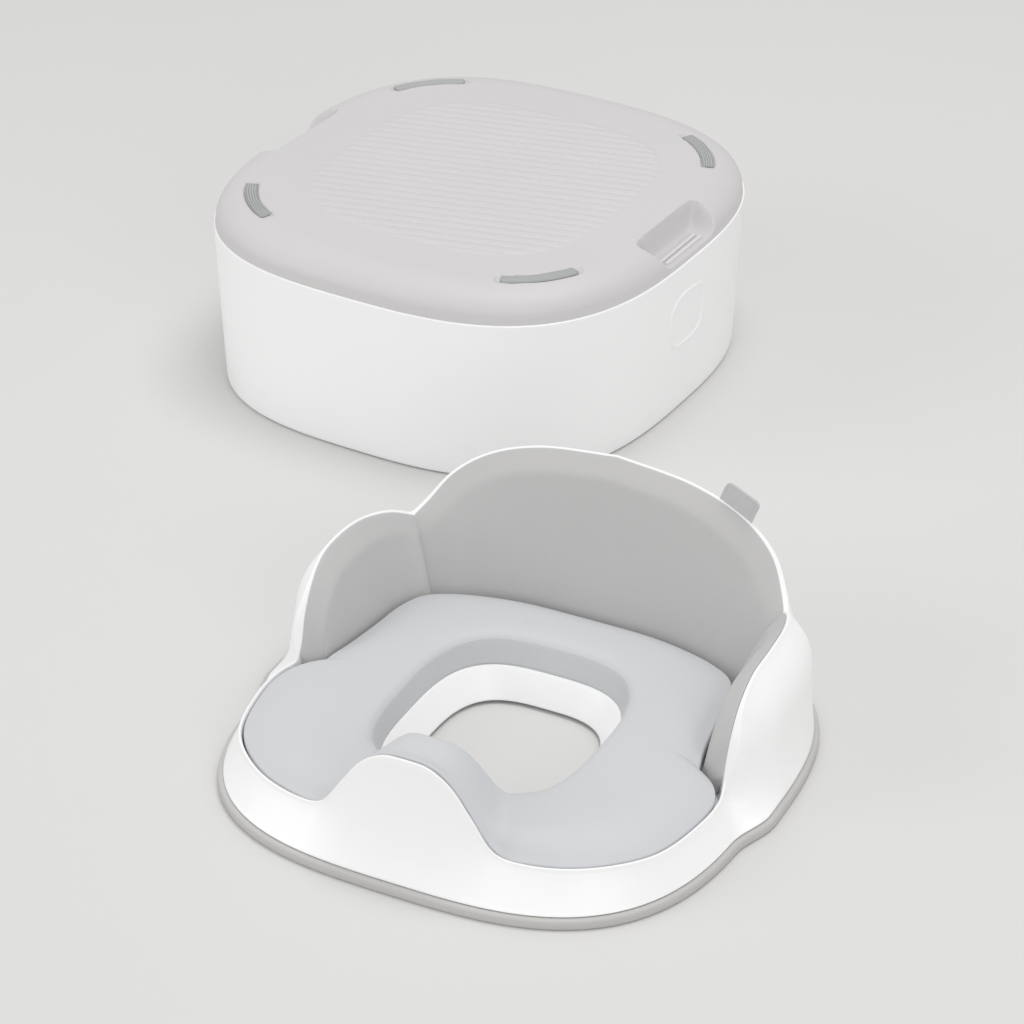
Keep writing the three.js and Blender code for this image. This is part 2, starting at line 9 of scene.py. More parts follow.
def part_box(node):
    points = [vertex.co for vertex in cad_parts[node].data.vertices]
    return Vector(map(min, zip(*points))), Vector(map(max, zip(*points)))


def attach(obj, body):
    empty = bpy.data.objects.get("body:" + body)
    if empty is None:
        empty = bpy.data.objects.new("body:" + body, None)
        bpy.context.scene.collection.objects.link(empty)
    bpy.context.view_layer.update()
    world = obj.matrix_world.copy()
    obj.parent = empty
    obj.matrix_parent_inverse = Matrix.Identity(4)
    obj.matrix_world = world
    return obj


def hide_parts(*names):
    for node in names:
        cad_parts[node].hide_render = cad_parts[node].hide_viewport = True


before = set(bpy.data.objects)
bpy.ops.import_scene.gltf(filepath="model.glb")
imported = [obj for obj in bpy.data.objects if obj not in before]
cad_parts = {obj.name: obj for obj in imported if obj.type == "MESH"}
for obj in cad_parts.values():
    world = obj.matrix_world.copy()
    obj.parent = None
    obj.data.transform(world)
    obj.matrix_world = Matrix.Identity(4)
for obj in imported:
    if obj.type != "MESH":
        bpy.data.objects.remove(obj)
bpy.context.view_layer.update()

# ---------------------------------------------------------------------------------------------------
# Sizes in millimetres: the solids' own, apart from a few where the detailed piece is a closer fit
# ---------------------------------------------------------------------------------------------------
GAP = 0.3
FOOT_HEIGHT = 2.0
TUB = dict(top_x=185, bottom_x=178, y=188.3, power=2.87, top=128, wall=3.2, floor=3.5, rim_z=0.7)
LID = dict(top=151.3, seam=0.03, inset=1.2, wall=3, skirt_depth=12, skirt=4.2, shoulder=30)
POCKET = dict(floor=131.2, floor_x=164, top_x=157, floor_half=31, top_half=47, rise=24.1)
GRIP = dict(radius=80, width=9.5, sweep=40, apex=125.5, recess=1.5, groove=1.2, depth=1.45,
            overrun=1.045)
INSERT = dict(x=173.5, pitch=5, plate=(5.4, 29.8, 0.9), ridge=(1.7, 27.5, 1.5))
RIBS = dict(pitch=9.9, turn=14.7, half_x=121, half_y=125, centre_x=4, power=3.2,
            height=1.25, fade=7, sunk=0.2)
EMBOSS = dict(y=-3, z=80, half_y=25, half_z=22, power=3.2, width=2.6, height=0.8)
POT = dict(rim=128, bowl=112, floor=88, height=104, wall=2.6, stretch=1.06)
FOOT = dict(radius=10, offset=122)
SEAT = dict(x=301.3, y=-457.2, turn=4)
RIM = dict(front_x=171.5, rear_x=181, y=171.5, power=3.0, height=7, lip=3.5, width=9)
HOLE = dict(x=66.5, y=77, power=3.2, centre_y=-20, top=22.6, bottom=2.5, taper=12, wall=2.6)
DECK = dict(z=19, thickness=3)
WALL = dict(skin=3, front_lip=2.5, arm_top=3, arm_foot=9, back_top=2.6, notch=4.5,
            back_waist=6.6, arm_waist=16.6)
GUARD = dict(foot=31, rise=53.6, deck_rise=46, half_width=70, y=-148, flatness=3.1, softness=2.85)
PAD = dict(bottom=22.7, edge=31, crown=43, well=38.5, well_run=7, hole=23.2, arch=-4,
           side_gap=0.35, well_sides=6)
CARRIER = dict(bottom=0.4, top=3.3, inner=4, outer=14, end=148)
CLIP = dict(x=96, y=52, width=14, thickness=3)
LINER = dict(bottom=19.6, bevel=12, crease=-0.0015, front_gap=0.012, puff=0.8,
             back_end=(24, 0.6), arm_end=(6, 0.4))
TAG = dict(width=27, height=17.5, root=5, thickness=2.4, radius=5, angle=30.5, tilt=0.07, twist=0.12,
           across_wall=0.62)

# Outlines of the seat's right half, from the middle of the back round to the middle of the front.
BACK_EDGE = [(0, 150, 141), (57, 149, 134), (93, 146, 121), (117, 139, 103.5), (130, 127, 85), (136, 117, 77)]
ARM_EDGE = [(136, 117, 77), (144.5, 100, 86), (152, 74, 92.5), (154.5, 45, 94), (154, 22, 91), (153, 6, 79),
            (152.5, -5, 62), (152, -11, 44), (152.5, -16, 31)]
FRONT_EDGE = [(152.5, -16, 31), (157.5, -34, 31), (156.5, -60, 31), (144.5, -103, 31), (112, -134, 31),
              (78, -146, 31)]
LINER_FOOT = [(0, 119), (46, 118), (76, 113), (101, 103), (119, 90), (131, 67), (138, 34), (144, 4),
              (149, -15)]
LINER_FACE = [(0, 110), (45, 109), (72, 104.5), (97, 96.5), (113.5, 86), (121.5, 67), (125, 41),
              (130, 10), (135.5, -13)]
PAD_FRONT = [(135.5, -13), (149.5, -22), (156.3, -36), (155.8, -60), (143.8, -102.4), (111.4, -133.4),
             (78, -145.4)]
CORNERS = [(1, 1, "rear_right"), (-1, 1, "rear_left"), (-1, -1, "front_left"), (1, -1, "front_right")]

tub_low, tub_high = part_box("tub")
BASE_CENTRE = Vector(((tub_low.x + tub_high.x) / 2, (tub_low.y + tub_high.y) / 2, 0))
SEAT_CENTRE = BASE_CENTRE + Vector((SEAT["x"], SEAT["y"], 0)) / 1000
SEAT_TURN = math.radians(SEAT["turn"])


def on_base(p):
    return BASE_CENTRE + Vector(p) / 1000


def on_seat(p):
    c, s = math.cos(SEAT_TURN), math.sin(SEAT_TURN)
    return SEAT_CENTRE + Vector((p[0] * c - p[1] * s, p[0] * s + p[1] * c, p[2])) / 1000


# ---------------------------------------------------------------------------------------------------
# Maths helpers
# ---------------------------------------------------------------------------------------------------
def lerp(a, b, t):
    return a + (b - a) * t


def clamp(t, low=0.0, high=1.0):
    return max(low, min(high, t))


def smooth(x, low, high):
    t = clamp((x - low) / (high - low))
    return t * t * (3 - 2 * t)


def spaced(low, high, steps):
    return [lerp(low, high, i / steps) for i in range(steps)]


def squircle_radius(angle, a, b, power):
    return (abs(math.cos(angle) / a) ** power + abs(math.sin(angle) / b) ** power) ** (-1 / power)


def spline(points, steps=60):
    """A smooth curve through the points: centripetal Catmull-Rom."""
    pts = [np.array(p if len(p) == 3 else (*p, 0), float) for p in points]
    pts = [2 * pts[0] - pts[1], *pts, 2 * pts[-1] - pts[-2]]
    curve = []
    for p0, p1, p2, p3 in zip(pts, pts[1:], pts[2:], pts[3:]):
        d0, d1, d2 = (math.sqrt(np.linalg.norm(b - a)) for a, b in ((p0, p1), (p1, p2), (p2, p3)))
        m1 = ((p1 - p0) / d0 - (p2 - p0) / (d0 + d1) + (p2 - p1) / d1) * d1
        m2 = ((p2 - p1) / d1 - (p3 - p1) / (d1 + d2) + (p3 - p2) / d2) * d1
        for t in spaced(0, 1, steps):
            ease = 3 * t ** 2 - 2 * t ** 3
            leaving, arriving = t ** 3 - 2 * t ** 2 + t, t ** 3 - t ** 2
            curve.append((1 - ease) * p1 + leaving * m1 + ease * p2 + arriving * m2)
    curve.append(pts[-2])
    return curve


def outline_by_angle(*stretches):
    """The outline through the points as a function of its direction from the seat's middle."""
    curve = np.array([p for points in stretches for p in spline(points)])
    angles = np.arctan2(curve[:, 0], curve[:, 1])
    order = np.argsort(angles, kind="stable")
    return lambda angle: tuple(float(np.interp(angle, angles[order], curve[order, k])) for k in range(3))


# ---------------------------------------------------------------------------------------------------
# Mesh helpers
# ---------------------------------------------------------------------------------------------------
SHARP_FROM = math.radians(38)


def new_object(name, vertices, faces, place, material, body, slot, nodes=()):
    mesh = bpy.data.meshes.new(name)
    mesh.from_pydata([tuple(place(v)) for v in vertices], [], faces)
    bm = bmesh.new()
    bm.from_mesh(mesh)
    bmesh.ops.remove_doubles(bm, verts=bm.verts, dist=1e-6)
    bmesh.ops.recalc_face_normals(bm, faces=bm.faces)
    for face in bm.faces:
        face.smooth = True
    bm.to_mesh(mesh)
    bm.free()
    mesh.set_sharp_from_angle(angle=SHARP_FROM)
    mesh.materials.append(material)
    obj = bpy.data.objects.new(name, mesh)
    bpy.context.scene.collection.objects.link(obj)
    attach(obj, body)
    if nodes:
        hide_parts(*nodes)
    return obj


def grid_faces(rows, columns, wrap_rows, wrap_columns):
    faces = []
    for i in range(rows if wrap_rows else rows - 1):
        for j in range(columns if wrap_columns else columns - 1):
            k, m = (i + 1) % rows, (j + 1) % columns
            faces.append((i * columns + j, i * columns + m, k * columns + m, k * columns + j))
    return faces


def skin(rows, is_ring):
    """Vertices and faces of a body through closed sections: a ring, or a row with a cap at each end."""
    count = len(rows[0])
    vertices = [tuple(p) for row in rows for p in row]
    faces = grid_faces(len(rows), count, is_ring, True)
    if not is_ring:
        for start in (0, (len(rows) - 1) * count):
            middle = np.mean(np.array(vertices[start:start + count]), axis=0)
            vertices.append(tuple(middle))
            pole = len(vertices) - 1
            faces += [(start + j, start + (j + 1) % count, pole) for j in range(count)]
    return vertices, faces


def joined(bodies):
    """Vertices and faces of several bodies as one."""
    vertices, faces = [], []
    for more_vertices, more_faces in bodies:
        start = len(vertices)
        vertices += more_vertices
        faces += [tuple(start + k for k in face) for face in more_faces]
    return vertices, faces


def flipped(rows):
    """The rows' mirror image, left for right."""
    return [[(-p[0], p[1], p[2]) for p in row] for row in rows]


def subdivide(obj):
    modifier = obj.modifiers.new("Smoothing", "SUBSURF")
    modifier.levels = 1
    modifier.render_levels = 1
    return obj


def rounded(points, radius, steps):
    """A closed 2-D profile with its corners rounded. Points are (r, z), or (r, z, own radius)."""
    out = []
    for i, point in enumerate(points):
        here = np.array(point[:2], float)
        own = point[2] if len(point) > 2 else radius
        before, after = np.array(points[i - 1][:2], float), np.array(points[(i + 1) % len(points)][:2], float)
        cut_a = min(own, np.linalg.norm(before - here) * 0.45)
        cut_b = min(own, np.linalg.norm(after - here) * 0.45)
        a = here + (before - here) / max(np.linalg.norm(before - here), 1e-9) * cut_a
        b = here + (after - here) / max(np.linalg.norm(after - here), 1e-9) * cut_b
        for k in range(steps + 1):
            t = k / steps
            out.append(tuple((1 - t) ** 2 * a + 2 * t * (1 - t) * here + t * t * b))
    return out


# ---------------------------------------------------------------------------------------------------
# Materials
# ---------------------------------------------------------------------------------------------------
def node(tree, kind, **inputs):
    made = tree.nodes.new(kind)
    for name, value in inputs.items():
        made.inputs[name.replace("_", " ")].default_value = value
    return made


def surface(name, color, roughness, grain, depth, mottle, sheen=0.0, specular=0.5):
    """A moulded surface: fine grain in its bump, slow variation in its colour and roughness."""
    material = bpy.data.materials.new(name)
    material.use_nodes = True
    tree = material.node_tree
    shader = tree.nodes["Principled BSDF"]
    shader.inputs["Sheen Weight"].default_value = sheen
    shader.inputs["Sheen Roughness"].default_value = 0.6
    shader.inputs["Specular IOR Level"].default_value = specular
    place = tree.nodes.new("ShaderNodeTexCoord")
    slow = node(tree, "ShaderNodeTexNoise", Scale=9.0, Detail=4.0, Roughness=0.55)
    tree.links.new(place.outputs["Object"], slow.inputs["Vector"])
    ramp = tree.nodes.new("ShaderNodeValToRGB")
    ramp.color_ramp.elements[0].position = 0.3
    ramp.color_ramp.elements[1].position = 0.7
    ramp.color_ramp.elements[0].color = (*[c * (1 - mottle) for c in color], 1)
    ramp.color_ramp.elements[1].color = (*[min(1, c * (1 + mottle * 0.5)) for c in color], 1)
    tree.links.new(slow.outputs["Fac"], ramp.inputs["Fac"])
    tree.links.new(ramp.outputs["Color"], shader.inputs["Base Color"])
    worn = tree.nodes.new("ShaderNodeMapRange")
    worn.inputs["To Min"].default_value = roughness - 0.05
    worn.inputs["To Max"].default_value = roughness + 0.06
    tree.links.new(slow.outputs["Fac"], worn.inputs["Value"])
    tree.links.new(worn.outputs["Result"], shader.inputs["Roughness"])
    fine = node(tree, "ShaderNodeTexNoise", Scale=grain, Detail=3.0)
    tree.links.new(place.outputs["Object"], fine.inputs["Vector"])
    bump = tree.nodes.new("ShaderNodeBump")
    bump.inputs["Strength"].default_value = depth
    bump.inputs["Distance"].default_value = 0.0004
    tree.links.new(fine.outputs["Fac"], bump.inputs["Height"])
    tree.links.new(bump.outputs["Normal"], shader.inputs["Normal"])
    return material


def woven(name, color):
    """A close ribbon weave for the tag."""
    material = surface(name, color, 0.8, 900, 0.2, mottle=0.05, sheen=0.3)
    tree = material.node_tree
    place = tree.nodes["Texture Coordinate"]
    bump = tree.nodes["Bump"]
    height = None
    for direction in ("X", "Z"):
        wave = node(tree, "ShaderNodeTexWave", Scale=420.0, Distortion=0.4)
        wave.bands_direction = direction
        tree.links.new(place.outputs["Object"], wave.inputs["Vector"])
        if height is None:
            height = wave.outputs["Fac"]
        else:
            both = tree.nodes.new("ShaderNodeMath")
            both.operation = "MAXIMUM"
            tree.links.new(height, both.inputs[0])
            tree.links.new(wave.outputs["Fac"], both.inputs[1])
            height = both.outputs["Value"]
    tree.links.new(height, bump.inputs["Height"])
    return material


WHITE = surface("white_plastic", (0.95, 0.95, 0.955), 0.36, 1400, 0.10, mottle=0.008)
LID_GREY = surface("grey_plastic", (0.62, 0.605, 0.608), 0.5, 1800, 0.2, mottle=0.015)
RIM_GREY = surface("grey_rubber", (0.53, 0.522, 0.51), 0.6, 1500, 0.2, mottle=0.03)
# A lighter copy of the rim's grey rubber: the extra lightness is painted highlight on the insert's ridges.
INSERT_LIT_GREY = surface("insert_rubber_painted_highlight", (0.70, 0.69, 0.69), 0.45, 1500, 0.15, mottle=0.02)
DARK_RUBBER = surface("dark_rubber", (0.47, 0.485, 0.48), 0.6, 1500, 0.3, mottle=0.05)
LINER_GREY = surface("grey_padding", (0.52, 0.514, 0.512), 0.6, 1300, 0.25, mottle=0.02, sheen=0.15)
PAD_GREY = surface("blue_grey_padding", (0.60, 0.61, 0.63), 0.58, 1100, 0.3, mottle=0.012, sheen=0.1)
# The well's padding: its coarser grain is the foam's own, but its darker colour is painted shade.
WELL_SHADED_GREY = surface("grained_padding_painted_shade", (0.545, 0.555, 0.575), 0.62, 700, 0.6, mottle=0.03, sheen=0.1)
TAG_GREY = woven("tag_ribbon", (0.55, 0.555, 0.555))

# ---------------------------------------------------------------------------------------------------
# Base
# ---------------------------------------------------------------------------------------------------
TUB_SEGMENTS, LID_SEGMENTS = 360, 720


def tub_radius(angle, z, inset):
    """Distance from the axis to the tub's wall, set in by the same share all round."""
    half_x = lerp(TUB["bottom_x"], TUB["top_x"], clamp(z / TUB["top"]))
    return squircle_radius(angle, half_x, TUB["y"], TUB["power"]) * (1 - inset / TUB["top_x"])


def squircle_lathe(name, profile, material, body, slot, nodes):
    """Turns (inset, z) pairs round the axis in the tub's plan."""
    rows = []
    for i in range(TUB_SEGMENTS):
        angle = 2 * math.pi * i / TUB_SEGMENTS
        rows.append([(r * math.cos(angle), r * math.sin(angle), z)
                     for r, z in ((tub_radius(angle, z, inset), z) for inset, z in profile)])
    vertices, faces = skin(rows, True)
    return new_object(name, vertices, faces, on_base, material, body, slot, nodes)


def build_tub():
    top, wall = TUB["top"], TUB["wall"]
    floor_top = FOOT_HEIGHT + TUB["floor"]
    axis = TUB["top_x"] - 0.5
    outer_wall = [(0, z, 0.2) for z in range(10, 121, 10)]
    profile = rounded([
        (axis, FOOT_HEIGHT, 0.2), (90, FOOT_HEIGHT, 0.2), (14, FOOT_HEIGHT), (12, TUB["rim_z"]),
        (0, TUB["rim_z"], 2.4),
        *outer_wall, (0, top - 2.4, 0.2), (0, top, 0.9), (wall - 0.8, top, 0.8), (wall, top - 6, 0.4),
        (wall, 60, 0.2), (wall, floor_top, 8), (90, floor_top, 0.2), (axis, floor_top, 0.2)], 0.6, 4)
    squircle_lathe("tub_moulding", profile, WHITE, "base", "white_plastic", ["tub"])


def build_embossed_outline():
    """A low bead round a rounded square, on the tub's right side."""
    stations, sides = 64, 8
    path = []
    for i in range(stations):
        angle = 2 * math.pi * i / stations
        r = squircle_radius(angle, EMBOSS["half_y"], EMBOSS["half_z"], EMBOSS["power"])
        path.append((EMBOSS["y"] + r * math.cos(angle), EMBOSS["z"] + r * math.sin(angle)))
    rows = []
    for i, (y, z) in enumerate(path):
        ahead, behind = path[(i + 1) % stations], path[i - 1]
        along = np.array((ahead[0] - behind[0], ahead[1] - behind[1]))
        across = np.array((-along[1], along[0])) / np.linalg.norm(along)
        row = []
        for k in range(sides):
            turn = 2 * math.pi * k / sides
            yy, zz = np.array((y, z)) + across * EMBOSS["width"] / 2 * math.cos(turn)
            row.append((wall_x(yy, zz) + EMBOSS["height"] * math.sin(turn), yy, zz))
        rows.append(row)
    vertices, faces = skin(rows, True)
    new_object("tub_embossed_outline", vertices, faces, on_base, WHITE, "base", "white_plastic")


def wall_x(y, z):
    """How far out the tub's right side is at a point of it."""
    half_x = lerp(TUB["bottom_x"], TUB["top_x"], z / TUB["top"])
    return half_x * (1 - abs(y / TUB["y"]) ** TUB["power"]) ** (1 / TUB["power"])


def shoulder_height(inset):
    """Height of the lid's surface at this inset, across its rounded shoulder to the flat tread."""
    edge = TUB["top"] + LID["seam"]
    share = clamp((inset - LID["inset"]) / LID["shoulder"])
    lift = math.sqrt(max(0.0, 1 - (1 - share) ** (2 / 0.9))) ** 0.85
    return edge + (LID["top"] - edge) * lift


def pocket_height(x, y, grow):
    """Height of a finger pocket's wall at a point: its floor, and walls that steepen upwards."""
    out_x = clamp((POCKET["floor_x"] - grow - abs(x)) / (POCKET["floor_x"] - POCKET["top_x"]), 0, 4)
    out_y = clamp((abs(y) - POCKET["floor_half"] - grow) / (POCKET["top_half"] - POCKET["floor_half"]), 0, 4)
    out = (out_x ** 2.4 + out_y ** 2.4) ** (1 / 2.4)
    return POCKET["floor"] - grow + POCKET["rise"] * out ** 2


def grip_depth(x, y):
    """How far the recess for a corner's grip strip goes down at a point."""
    centre = GRIP["apex"] - GRIP["radius"] / math.sqrt(2)
    u, v = abs(x) - centre, abs(y) - centre
    turn = abs(math.atan2(v, u) - math.pi / 4)
    over_end = max(0.0, turn - math.radians(GRIP["sweep"] / 2)) * GRIP["radius"]
    distance = math.hypot(math.hypot(u, v) - GRIP["radius"], over_end)
    return GRIP["recess"] * (1 - smooth(distance, GRIP["width"] / 2 + 0.2, GRIP["width"] / 2 + 1.4))


def lid_height(x, y, inset, under=False):
    grow = LID["wall"] if under else 0
    top = shoulder_height(inset) - grow
    pocket = pocket_height(x, y, grow)
    blend = 0.55
    low = min(top, pocket)
    height = low - blend * math.log(math.exp((low - top) / blend) + math.exp((low - pocket) / blend))
    return height if under else height - grip_depth(x, y)


def lid_insets():
    """Steps inwards over the lid: close over the shoulder, medium past the grips, wide to the middle."""
    edge, shoulder, step = LID["inset"], 34, 3.2
    grips = shoulder + step * 11
    insets = [edge + shoulder * (i / 40) for i in range(41)]
    insets += [edge + shoulder + step * i for i in range(1, 12)]
    to_middle = TUB["top_x"] - edge - grips - 0.8
    return insets + [edge + grips + to_middle * (i / 14) for i in range(1, 15)]


def build_lid():
    edge = LID["inset"]
    insets = lid_insets()
    skirt_bottom = TUB["top"] - LID["skirt_depth"]
    seat_z = TUB["top"] + LID["seam"]
    rows = []
    for i in range(LID_SEGMENTS):
        angle = 2 * math.pi * i / LID_SEGMENTS
        c, s = math.cos(angle), math.sin(angle)

        def at(inset, z):
            r = tub_radius(angle, TUB["top"], inset)
            return (r * c, r * s, z)

        def over(inset, under=False):
            r = tub_radius(angle, TUB["top"], inset)
            return (r * c, r * s, lid_height(r * c, r * s, inset, under))

        inner = LID["skirt"] + 2.2
        beneath = [inset for inset in insets if inset > inner + 0.5]
        rows.append([at(LID["skirt"], skirt_bottom), at(LID["skirt"], seat_z), at(edge + 0.3, seat_z)]
                    + [over(inset) for inset in insets]
                    + [over(inset, True) for inset in reversed(beneath)]
                    + [at(inner, TUB["top"]), at(inner, skirt_bottom)])
    vertices, faces = skin(rows, True)
    new_object("lid_moulding", vertices, faces, on_base, LID_GREY, "lid", "grey_plastic", ["lid"])


def rib_height(u, v, centre, along, across):
    """Height over the tread at u along and v across the ribs, and None outside their rounded square."""
    x, y = centre + along * u + across * v
    power = RIBS["power"]
    reach_x, reach_y = abs(x - centre[0]) / RIBS["half_x"], abs(y - centre[1]) / RIBS["half_y"]
    from_border = (1 - (reach_x ** power + reach_y ** power) ** (1 / power)) * RIBS["half_x"]
    if from_border <= -2:
        return None
    ridge = RIBS["height"] * math.sqrt(abs(math.cos(math.pi * v / RIBS["pitch"])))
    return smooth(from_border, 0, RIBS["fade"]) * (RIBS["sunk"] + 0.02 + ridge) - RIBS["sunk"]


def build_ribs():
    """Low rounded ribs across the tread, aslant, that sink into it round a rounded square."""
    turn = math.radians(RIBS["turn"])
    along = np.array((math.cos(turn), math.sin(turn)))
    across = np.array((-math.sin(turn), math.cos(turn)))
    centre = np.array((RIBS["centre_x"], 0.0))
    step_u, step_v, half = 2.5, RIBS["pitch"] / 12, 160
    places, top, index = [], [], {}
    for i in range(-int(half / step_u), int(half / step_u) + 1):
        for j in range(-int(half / step_v), int(half / step_v) + 1):
            height = rib_height(i * step_u, j * step_v, centre, along, across)
            if height is not None:
                index[i, j] = len(top)
                x, y = centre + along * i * step_u + across * j * step_v
                top.append((x, y, LID["top"] + height))
                places.append((i, j))
    low = [(x, y, LID["top"] - 0.6) for x, y, _z in top]
    faces, open_edges = [], set()
    for i, j in places:
        corners = [index.get(key) for key in ((i, j), (i + 1, j), (i + 1, j + 1), (i, j + 1))]
        if None in corners:
            continue
        faces += [tuple(corners), tuple(k + len(top) for k in reversed(corners))]
        open_edges ^= {frozenset(edge) for edge in zip(corners, corners[1:] + corners[:1])}
    for a, b in (sorted(edge) for edge in open_edges):
        faces.append((a, b, b + len(top), a + len(top)))
    new_object("tread_ribs", top + low, faces, on_base, LID_GREY, "lid", "grey_plastic")


def grip_profile():
    """A strip's section: four grooves along its top between rounded ridges."""
    half, low, steps = GRIP["width"] / 2, -GRIP["depth"], 48
    points = [(-half, low)]
    for k in range(steps + 1):
        side = -1 + 2 * k / steps
        groove = GRIP["groove"] * abs(math.cos(side * math.pi * 2.5)) ** 3
        points.append((side * half, (-0.5 if k in (0, steps) else -0.1) - groove))
    points.append((half, low))
    return points


def build_grips():
    centre = GRIP["apex"] - GRIP["radius"] / math.sqrt(2)
    half_sweep = math.radians(GRIP["sweep"] / 2) * GRIP["overrun"]
    steps = 48
    for sign_x, sign_y, corner in CORNERS:
        rows = []
        for i in range(steps + 1):
            share = -1 + 2 * i / steps
            turn = math.pi / 4 + half_sweep * share
            from_end = (1 - abs(share)) * half_sweep * GRIP["radius"]
            width = math.sqrt(1 - (1 - clamp((from_end + 0.4) / 2.6)) ** 2)
            row = []
            for across, z in grip_profile():
                r = GRIP["radius"] + across * width
                x, y = centre + r * math.cos(turn), centre + r * math.sin(turn)
                drop = 0.6 * (1 - smooth(from_end, 0, 1.2))
                row.append((sign_x * x, sign_y * y, LID["top"] + max(z - drop, -GRIP["depth"])))
            rows.append(row)
        vertices, faces = skin(rows, False)
        new_object(f"grip_strip_{corner}", vertices, faces, on_base, DARK_RUBBER, "lid", "dark_rubber",
                   [f"tread_grip_{corner}"])


def bar(centre, half, round_radius):
    """A bar along Y with rounded long edges and rounded ends."""
    end, length = [0, 0.3, 0.9, 1.8, 3, 8], 2 * half[1]
    middle = [lerp(end[-1], length - end[-1], k / 6) for k in range(1, 7)]
    body = []
    for d in end + middle + [length - d for d in end[::-1]]:
        near = min(d, length - d)
        share = math.sqrt(1 - (1 - clamp(near / round_radius)) ** 2) * 0.98 + 0.02
        section = []
        for k in range(12):
            turn = 2 * math.pi * k / 12
            x = half[0] * share * math.copysign(abs(math.cos(turn)) ** 0.7, math.cos(turn))
            z = half[2] * share * math.copysign(abs(math.sin(turn)) ** 0.7, math.sin(turn))
            section.append((centre[0] + x, centre[1] - half[1] + d, centre[2] + z))
        body.append(section)
    return skin(body, False)


def build_inserts():
    """A plate in each finger pocket's floor, with two ridges along it."""
    for side, name in ((1, "right"), (-1, "left")):
        parts = [bar((side * INSERT["x"], 0, POCKET["floor"] - 0.9), INSERT["plate"], 4)]
        for offset in (-0.5, 0.5):
            x = side * (INSERT["x"] + offset * INSERT["pitch"])
            parts.append(bar((x, 0, POCKET["floor"] + 0.3), INSERT["ridge"], 1.4))
        # The lightened grey rubber's extra lightness is painted highlight on the ridges.
        new_object(f"pocket_insert_{name}", *joined(parts), on_base, INSERT_LIT_GREY, "lid", "grey_rubber",
                   [f"handle_grip_{name}"])


def lathe(name, profile, place, material, body, slot, nodes, segments=128, stretch=1.0):
    rows = []
    for i in range(segments):
        angle = 2 * math.pi * i / segments
        rows.append([(r * math.cos(angle), r * math.sin(angle) * stretch, z) for r, z in profile])
    vertices, faces = skin(rows, True)
    return new_object(name, vertices, faces, place, material, body, slot, nodes)


def build_pot():
    low = FOOT_HEIGHT + TUB["floor"] + GAP
    top = low + POT["height"]
    wall, floor, bowl, rim = POT["wall"], POT["floor"], POT["bowl"], POT["rim"]
    profile = rounded([
        (0.5, low, 0.1), (floor - 14, low, 1), (floor, low, 7), (floor + 12, low + 52, 0.5),
        (bowl, top - 4, 1.6),
        (rim, top - 4, 0.8), (rim + 1.5, top - 6, 0.6), (rim + 3, top - 5, 0.8), (rim + 1, top, 1.6),
        (bowl - wall, top, 3), (floor + 12 - wall, low + 52, 0.5), (floor - wall, low + wall, 9),
        (0.5, low + wall, 0.1)], 1.0, 4)
    lathe("pot_moulding", profile, on_base, WHITE, "pot", "white_plastic", ["pot"], 160, POT["stretch"])


def build_feet():
    tall, radius = FOOT_HEIGHT - GAP, FOOT["radius"]
    ridges = []
    for r in (3, 5, 7):
        ridges += [(r - 0.5, 0), (r, 0.4), (r + 0.5, 0)]
    for sign_x, sign_y, corner in CORNERS:
        profile = rounded([(0.3, 0, 0.1), *[(r, z, 0.1) for r, z in ridges], (radius, 0), (radius, tall),
                           (0.3, tall, 0.1)], 0.5, 2)

        def place(p, sx=sign_x, sy=sign_y):
            return on_base((p[0] + sx * FOOT["offset"], p[1] + sy * FOOT["offset"], p[2]))

        lathe(f"foot_pad_{corner}", profile, place, RIM_GREY, "base", "grey_rubber",
              [f"base_foot_{corner}"], 48)


# ---------------------------------------------------------------------------------------------------
# Seat: every section lies in a plane through the seat's upright axis
# ---------------------------------------------------------------------------------------------------
def guard_rise(x):
    """The splash guard's height at x, as a share of its full rise."""
    share = min(1, abs(x) / GUARD["half_width"])
    return (1 - share ** GUARD["flatness"]) ** GUARD["softness"]


def guard_outline(y):
    """The front edge over the splash guard, from its right foot to its middle."""
    return [(x, y, GUARD["foot"] + GUARD["rise"] * guard_rise(x)) for x in (60, 45, 30, 15, 0)]


edge_outline = outline_by_angle(BACK_EDGE, ARM_EDGE, FRONT_EDGE + guard_outline(GUARD["y"]))
foot_outline = outline_by_angle(LINER_FOOT)
face_outline = outline_by_angle(LINER_FACE)
pad_front_outline = outline_by_angle(PAD_FRONT + guard_outline(GUARD["y"] + 1.5))
NOTCH = math.atan2(*BACK_EDGE[-1][:2])
ARM_END = math.atan2(*ARM_EDGE[-1][:2])
PAD_ARM_END = math.atan2(*PAD_FRONT[0][:2])


def radial(angle, radius, z):
    return (radius * math.sin(angle), radius * math.cos(angle), z)


def reach(point):
    return math.hypot(point[0], point[1])


def rim_reach(angle):
    """How far out the shell's foot is: a rounded square, wider at its rear."""
    half_x = lerp(RIM["front_x"], RIM["rear_x"], smooth(math.cos(angle) * RIM["y"], -40, -2))
    return squircle_radius(math.pi / 2 - angle, half_x, RIM["y"], RIM["power"])


def hole_reach(angle, inset):
    """How far the hole's edge is from the seat's axis, which isn't the hole's own middle."""
    low, high = 0, HOLE["y"] - HOLE["centre_y"]
    for _ in range(30):
        middle = (low + high) / 2
        x, y, _z = radial(angle, middle, 0)
        share = (abs(x / (HOLE["x"] - inset)) ** HOLE["power"]
                 + abs((y - HOLE["centre_y"]) / (HOLE["y"] - inset)) ** HOLE["power"])
        low, high = (middle, high) if share < 1 else (low, middle)
    return low


